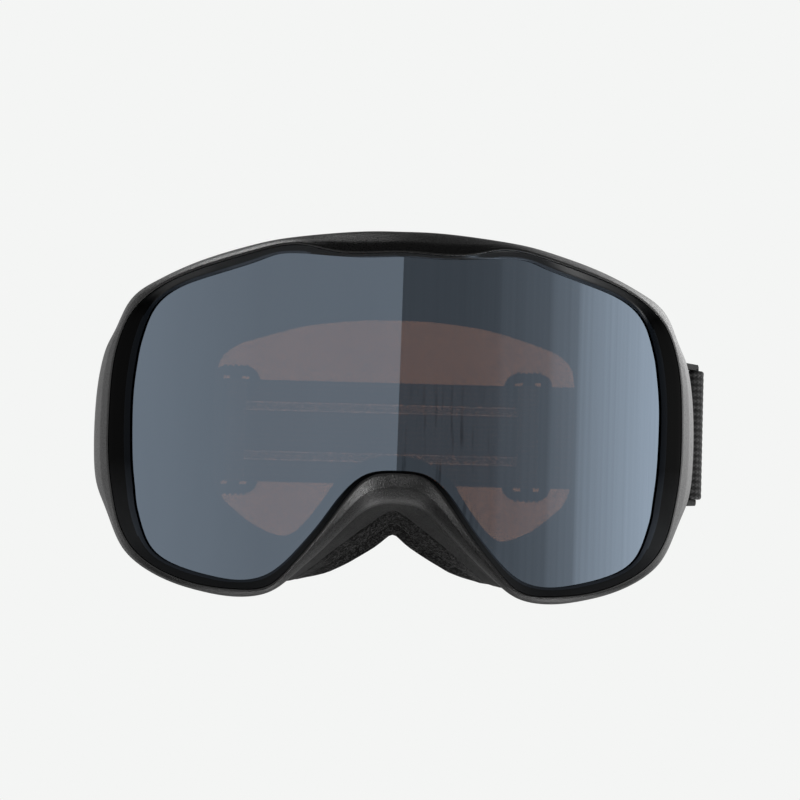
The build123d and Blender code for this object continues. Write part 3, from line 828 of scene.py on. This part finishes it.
def vent_foam(name, side, sign, near, far, low, high):
    """A strip of open foam lining the inner frame's wall."""
    out = inset(SHELL_LINE, 7.7 * MM)
    back = inset(FLANGE_LINE, 2.5 * MM)
    x, z = SHELL_LINE[:, 0] * sign / MM, SHELL_LINE[:, 1] / MM
    chosen = np.where((x > near) & (x < far) & (z > low) & (z < high))[0]
    if len(chosen) and chosen[-1] - chosen[0] > AROUND / 2:
        chosen = np.roll(chosen, -int(np.argmax(np.diff(chosen) > 1)) - 1)
    front_out, rear_out = at_depth(out, 12.8), at_face(back, 19.9)
    front_in = at_depth(inset(out, VENT_FOAM_THICKNESS), 12.8)
    rear_in = at_face(inset(back, VENT_FOAM_THICKNESS), 19.9)
    loops = rounded([front_out, rear_out, rear_in, front_in], [0.5] * 4, 3, 1.0)
    points = np.stack([loop[chosen] for loop in loops], 1)
    rows, columns = points.shape[:2]
    faces = [tuple(f) for f in grid_faces(rows, columns, close_rows=False)]
    faces += [tuple(range(columns)), tuple(range((rows - 1) * columns, rows * columns))[::-1]]
    strip = new_object(f"vent_foam_{name}_{side}_strip", points.reshape(-1, 3), faces, 50)
    face_outwards(strip)
    lumpy(strip, 5, 0.08)
    dress(strip, "vent_foam", "frame", f"vent_foam_{name}_{side}")


for side, sign in SIDES.items():
    for name, near, far, low, high in VENTS:
        vent_foam(name, side, sign, near, far, low, high)


# ---------------------------------------------------------------- strap


def route(side):
    """The outer layer's route."""
    return filleted(ROUTES[side], ROUTE_RADII, 0.6)


def parallel_route(side, sign):
    """The returning layer's route: from the fold's inner leg to the slider."""
    points = [np.array(p, float) for p in ROUTES[side]]
    spacing = STRAP_LAYER_SPACING / MM
    inner = []
    for i, p in enumerate(points):
        ways = [b - a for a, b in ((points[max(i - 1, 0)], p), (p, points[min(i + 1, 4)]))]
        ways = [w / np.linalg.norm(w) for w in ways if np.linalg.norm(w) > 0]
        normals = [np.array([-w[1], w[0]]) * sign for w in ways]
        middle = sum(normals) / np.linalg.norm(sum(normals))
        inner.append(p + middle * spacing / (middle @ normals[0]))
    inner[0] = points[0] - [sign * 2 * FOLD_RADIUS, 0]
    radii = [ROUTE_RADII[0]] + [r - spacing for r in ROUTE_RADII[1:]]
    return filleted(inner, radii, 0.6)


def place(x, y, z=0.0):
    """A point of the strap's own level, in millimetres, put into the frame."""
    return TILT @ Vector((x * MM, y * MM, z * MM))


def side_stretch(side):
    """The outer layer from the clip to the seam at the back."""
    outer = cut(route(side), lambda p: abs(p[0]) >= STRAP_SEAM_X / MM)
    stretch = band(f"strap_side_{side}_band", outer, wide=CLIP_END_WIDENING)
    clothe(stretch, "webbing", f"strap_side_{side}")
    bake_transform(stretch)


def returning_layer(side, sign):
    """The inner layer, in two lengths: one from the clip's fold, the other on to the slider."""
    inner = parallel_route(side, sign)
    split, overlap = 105, 0.7
    end_x = SLIDER_X[side] + 4.2
    front = cut(inner, lambda p: p[1] <= split)
    rear = cut(inner, lambda p: p[1] >= split - overlap and abs(p[0]) >= end_x)
    front_band = band(f"strap_return_{side}_front", front, wide=CLIP_END_WIDENING)
    clothe(front_band, "webbing", f"strap_return_{side}")
    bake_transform(front_band)
    rear_band = band(f"strap_return_{side}_rear", rear)
    clothe(rear_band, "webbing")
    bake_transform(rear_band)


def clip_fold(side, sign):
    """The half turn round the clip's bar."""
    turn = math.radians(CLIP_REST_ANGLE[side])
    bar = np.array([sign * (HINGE[0] + CLIP_BAR_DISTANCE * math.sin(turn)),
                    HINGE[1] + CLIP_BAR_DISTANCE * math.cos(turn)])
    top = ROUTES[side][0][1]
    arc = np.linspace(0, math.pi, 30)
    fold = [bar + [sign * FOLD_RADIUS * math.cos(t), -FOLD_RADIUS * math.sin(t)] for t in arc]
    fold = [(fold[0][0], top), (fold[0][0], top - 0.8)] + fold
    fold += [(fold[-1][0], top - 0.8), (fold[-1][0], top)]
    fold = band(f"strap_fold_{side}_band", np.array(fold, float), wide=CLIP_END_WIDENING)
    dress(fold, "webbing", f"clip_{side}", f"strap_clip_fold_{side}")


def end_loop(side, sign):
    """The sewn end: round the slider's fixed bar and back along the strap."""
    inner_y = (STRAP_REAR_Y - STRAP_LAYER_SPACING) / MM
    loop = [(4.9, inner_y), (4.0, 159.9), (3.45, 158.2), (3.0, 156.9), (2.0, 156.45),
            (-2.0, 156.45), (-3.0, 156.9), (-3.45, 158.2), (-3.0, 159.6), (-2.0, 160.0), (2.3, 160.0)]
    loop = np.array([(sign * (SLIDER_X[side] + x), y) for x, y in loop])
    loop = filleted(loop, [0.8] * (len(loop) - 2), 0.25)
    sewn = band(f"strap_end_{side}_loop", loop, 1.0 * MM)
    dress(sewn, "webbing", f"slider_{side}", f"strap_end_loop_{side}")


def back_stretch():
    x = np.linspace(-STRAP_SEAM_X, STRAP_SEAM_X, 190) / MM
    back = band("strap_rear_band", np.stack([x, np.full(190, STRAP_REAR_Y / MM)], 1))
    dress(back, "webbing", "frame", "strap_rear")


for side, sign in SIDES.items():
    side_stretch(side)
    returning_layer(side, sign)
    clip_fold(side, sign)
    end_loop(side, sign)
back_stretch()


def grip_strip(name, height):
    """A printed silicone strip: speckled field between two raised edge lines."""
    inner_face = (STRAP_REAR_Y - STRAP_THICKNESS / 2) / MM
    x = np.linspace(-63, 63, 160)
    field = 4
    profile = [(-1.7, 0.0), (-1.7, 0.18), (-1.55, 0.25), (-1.3, 0.2), (-1.2, 0.1), (1.2, 0.1),
               (1.3, 0.2), (1.55, 0.25), (1.7, 0.18), (1.7, 0.0)]
    points = np.array([[(a * MM, (inner_face - out) * MM, (height + z) * MM) for z, out in profile]
                       for a in x])
    rows, columns = points.shape[:2]
    faces = [tuple(f) for f in grid_faces(rows, columns, close_rows=False)]
    faces += [tuple(range(columns)), tuple(range((rows - 1) * columns, rows * columns))[::-1]]
    strip = new_object(f"grip_{name}_strip", points.reshape(-1, 3), faces, 40)
    strip.data.transform(TILT)
    face_outwards(strip)
    dress(strip, "silicone", "frame", f"silicone_grip_{name}")
    strip.data.materials.append(MATERIALS["silicone_edge"])
    for polygon in strip.data.polygons:
        polygon.material_index = 0 if polygon.index % columns == field else 1


GRIP_HEIGHT = 9.2
grip_strip("upper", GRIP_HEIGHT)
grip_strip("lower", -GRIP_HEIGHT)


def bar_tack(side, sign):
    """Zigzag stitching that closes the strap's sewn end."""
    face = (STRAP_REAR_Y - STRAP_LAYER_SPACING - STRAP_THICKNESS / 2) / MM - 0.1
    curve = bpy.data.curves.new(f"bar_tack_{side}_stitches", "CURVE")
    curve.dimensions = "3D"
    curve.bevel_depth = 0.17 * MM
    curve.bevel_resolution = 2
    spline = curve.splines.new("POLY")
    count, length, half_zigzag = 60, 30, 0.6
    spline.points.add(count - 1)
    for i in range(count):
        x = sign * (SLIDER_X[side] + 9.9 + (half_zigzag if i % 2 else -half_zigzag))
        spline.points[i].co = (*place(x, face, length * (i / (count - 1) - 0.5)), 1)
    tack = bpy.data.objects.new(curve.name, curve)
    bpy.context.scene.collection.objects.link(tack)
    dress(tack, "thread", f"slider_{side}", f"bar_tack_{side}")


for side, sign in SIDES.items():
    bar_tack(side, sign)


# ---------------------------------------------------------------- hard parts kept from the frame


def hard_part(node, material, bevel):
    """A CAD node shown as it is, with its edges softened."""
    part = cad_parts[node]
    part.data.materials.clear()
    part.data.materials.append(MATERIALS[material])
    modifier = part.modifiers.new("soft_edges", "BEVEL")
    modifier.width = bevel * MM
    modifier.segments = 3
    modifier.limit_method = "ANGLE"
    modifier.angle_limit = math.radians(38)


for side in SIDES:
    hard_part(f"strap_clip_{side}", "clip", 0.25)
    hard_part(f"strap_slider_{side}", "slider", 0.3)
    hard_part(f"hinge_pin_{side}", "pin", 0.1)
hard_part("inner_frame", "inner_frame", 0.15)


# ---------------------------------------------------------------- stage, light, camera


# Light at eye level by azimuth, in degrees from straight ahead: (angle, level), left and right.
ROOM_LEFT = [(-180, 0.3), (-152, 0.7), (-125, 0.75), (-112, 0.4), (-97, 0.9), (-60, 1.0), (0, 1.0)]
ROOM_RIGHT = [
    (0, 0.35), (22, 0.36), (32, 0.42), (33.5, 0.52), (39, 0.53), (40.5, 0.58), (49, 0.62),
    (50.5, 0.78), (59, 0.92), (60.5, 1.25), (69, 1.50), (86, 1.8), (100, 2.0), (125, 1.7),
    (145, 1.3), (165, 0.5), (180, 0.3),
]
# Softboxes away from eye level: direction, sharpness, level.
SOFTBOXES = [
    ((-0.36, 0.60, 0.72), 80, 11.0), ((0.50, -0.40, -0.77), 90, 34.0), ((-0.16, 0.64, -0.76), 80, 2.5),
    ((0.26, 0.62, -0.74), 80, 4.0), ((0.56, 0.76, 0.33), 30, 4.5), ((-0.64, -0.26, -0.72), 70, 9.0),
]


def studio_world():
    """A pale backdrop for the camera, and a studio of soft panels for everything else."""
    world = bpy.data.worlds.new("studio")
    bpy.context.scene.world = world
    world.use_nodes = True
    tree = world.node_tree
    tree.nodes.clear()
    link = tree.links.new

    def add(kind):
        return tree.nodes.new(kind)

    def maths(operation, a, b=None):
        node = add("ShaderNodeMath")
        node.operation = operation
        for i, value in enumerate((a, b)):
            if value is None:
                continue
            if isinstance(value, (int, float)):
                node.inputs[i].default_value = value
            else:
                link(value, node.inputs[i])
        return node.outputs[0]

    def spread(value, low, high, to_low, to_high):
        node = add("ShaderNodeMapRange")
        link(value, node.inputs["Value"])
        for key, number in zip(("From Min", "From Max", "To Min", "To Max"),
                               (low, high, to_low, to_high)):
            node.inputs[key].default_value = number
        return node.outputs[0]

    coords = add("ShaderNodeTexCoord")
    split = add("ShaderNodeSeparateXYZ")
    link(coords.outputs["Generated"], split.inputs[0])
    x, y, z = split.outputs
    azimuth = maths("ARCTAN2", x, maths("MULTIPLY", y, -1))
    turn = maths("ADD", maths("DIVIDE", azimuth, 2 * math.pi), 0.5)

    def room(stops, first, last):
        ramp = add("ShaderNodeValToRGB")
        link(spread(azimuth, math.radians(first), math.radians(last), 0, 1), ramp.inputs[0])
        elements = ramp.color_ramp.elements
        while len(elements) < len(stops):
            elements.new(0.5)
        for element, (degrees, level) in zip(elements, stops):
            element.position = (degrees - first) / (last - first)
            element.color = (level / 2, level / 2, level / 2, 1)
        return ramp.outputs[0]

    border = maths("ADD", maths("MULTIPLY", z, 0.10), math.radians(1.1))
    on_right = maths("GREATER_THAN", azimuth, border)
    bright, dark = room(ROOM_LEFT, -180, 0), room(ROOM_RIGHT, 0, 180)

    def brushed(scale, detail, upright):
        """Noise drawn out into upright strokes; a small upright number makes them longer."""
        strokes = add("ShaderNodeCombineXYZ")
        link(maths("MULTIPLY", turn, 60), strokes.inputs[0])
        link(maths("MULTIPLY", z, upright), strokes.inputs[1])
        node = add("ShaderNodeTexNoise")
        node.noise_dimensions = "2D"
        link(strokes.outputs[0], node.inputs["Vector"])
        node.inputs["Scale"].default_value = scale
        node.inputs["Detail"].default_value = detail
        return node.outputs[0]

    fine = maths("ADD", maths("MULTIPLY", maths("SUBTRACT", brushed(5.0, 6, 0.6), 0.5), 0.22), 1)
    low_down = maths("MULTIPLY", spread(z, -0.01, 0.03, 1, 0), spread(azimuth, 0.35, 0.6, 1, 0))
    drips = maths("MULTIPLY", spread(brushed(3.6, 4, 7), 0.55, 0.68, 0, 0.4), low_down)
    dark = maths("MULTIPLY", maths("MULTIPLY", dark, fine), maths("SUBTRACT", 1, drips))
    gap = maths("SUBTRACT", dark, bright)
    level = maths("MULTIPLY", maths("ADD", bright, maths("MULTIPLY", gap, on_right)), 2.0)
    level = maths("MULTIPLY", level, spread(z, 0.13, 0.4, 1.0, 0.08))
    level = maths("MULTIPLY", level, spread(z, -0.45, -0.13, 0.05, 1.0))
    for direction, sharpness, strength in SOFTBOXES:
        dot = add("ShaderNodeVectorMath")
        dot.operation = "DOT_PRODUCT"
        link(coords.outputs["Generated"], dot.inputs[0])
        dot.inputs[1].default_value = Vector(direction).normalized()
        lobe = maths("POWER", maths("MAXIMUM", dot.outputs["Value"], 0.0), sharpness)
        level = maths("ADD", level, maths("MULTIPLY", lobe, strength))
    lit, pale = add("ShaderNodeBackground"), add("ShaderNodeBackground")
    link(level, lit.inputs["Strength"])
    pale.inputs["Color"].default_value = PALE
    path, mix, out = add("ShaderNodeLightPath"), add("ShaderNodeMixShader"), add("ShaderNodeOutputWorld")
    link(path.outputs["Is Camera Ray"], mix.inputs[0])
    link(lit.outputs[0], mix.inputs[1])
    link(pale.outputs[0], mix.inputs[2])
    link(mix.outputs[0], out.inputs["Surface"])


def floor():
    """A plain pale floor well below the goggles."""
    mesh = bpy.data.meshes.new("floor")
    reach, drop = 6.0, -0.75
    corners = [(-reach, -reach, drop), (reach, -reach, drop), (reach, reach, drop), (-reach, reach, drop)]
    mesh.from_pydata(corners, [], [(0, 1, 2, 3)])
    obj = bpy.data.objects.new("floor", mesh)
    bpy.context.scene.collection.objects.link(obj)
    n = Nodes("floor_pale")
    glow = n.add("ShaderNodeEmission", Color=PALE, Strength=1.0)
    n.tree.links.new(glow.outputs[0], n.out.inputs["Surface"])
    mesh.materials.append(n.material)
    obj.visible_diffuse = obj.visible_glossy = obj.visible_shadow = False
    obj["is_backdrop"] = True


def strap_light():
    """A small softbox above, over the inner face of the strap at the back."""
    light = bpy.data.lights.new("strap_softbox", "AREA")
    light.size = 0.06
    light.energy = 0.5
    obj = bpy.data.objects.new("strap_softbox", light)
    stand, target = Vector((0, 0.05, 0.2)), Vector((0, 0.16, 0))
    aim = (target - stand).to_track_quat("-Z", "Y").to_matrix().to_4x4()
    obj.matrix_world = Matrix.Translation(stand) @ aim
    obj.visible_camera = obj.visible_glossy = False
    bpy.context.scene.collection.objects.link(obj)
    obj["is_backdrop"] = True


def camera():
    """Level with the lens, a little to the left and about 0.63 m in front."""
    cam = bpy.data.cameras.new("camera")
    cam.sensor_width = 36
    cam.lens = 95.49
    obj = bpy.data.objects.new("camera", cam)
    obj.location = (-11.57 * MM, -629.5 * MM, 0.61 * MM)
    turn = Matrix.Rotation(math.radians(-1.067), 4, "Z")
    tip = Matrix.Rotation(math.radians(90 + 0.403), 4, "X")
    roll = Matrix.Rotation(math.radians(1.515), 4, "Z")
    obj.matrix_world = Matrix.Translation(obj.location) @ turn @ tip @ roll
    cam.shift_x = 0.0044
    bpy.context.scene.collection.objects.link(obj)
    bpy.context.scene.camera = obj


studio_world()
floor()
strap_light()
camera()
bpy.context.scene.view_settings.view_transform = "Standard"

low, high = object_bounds()
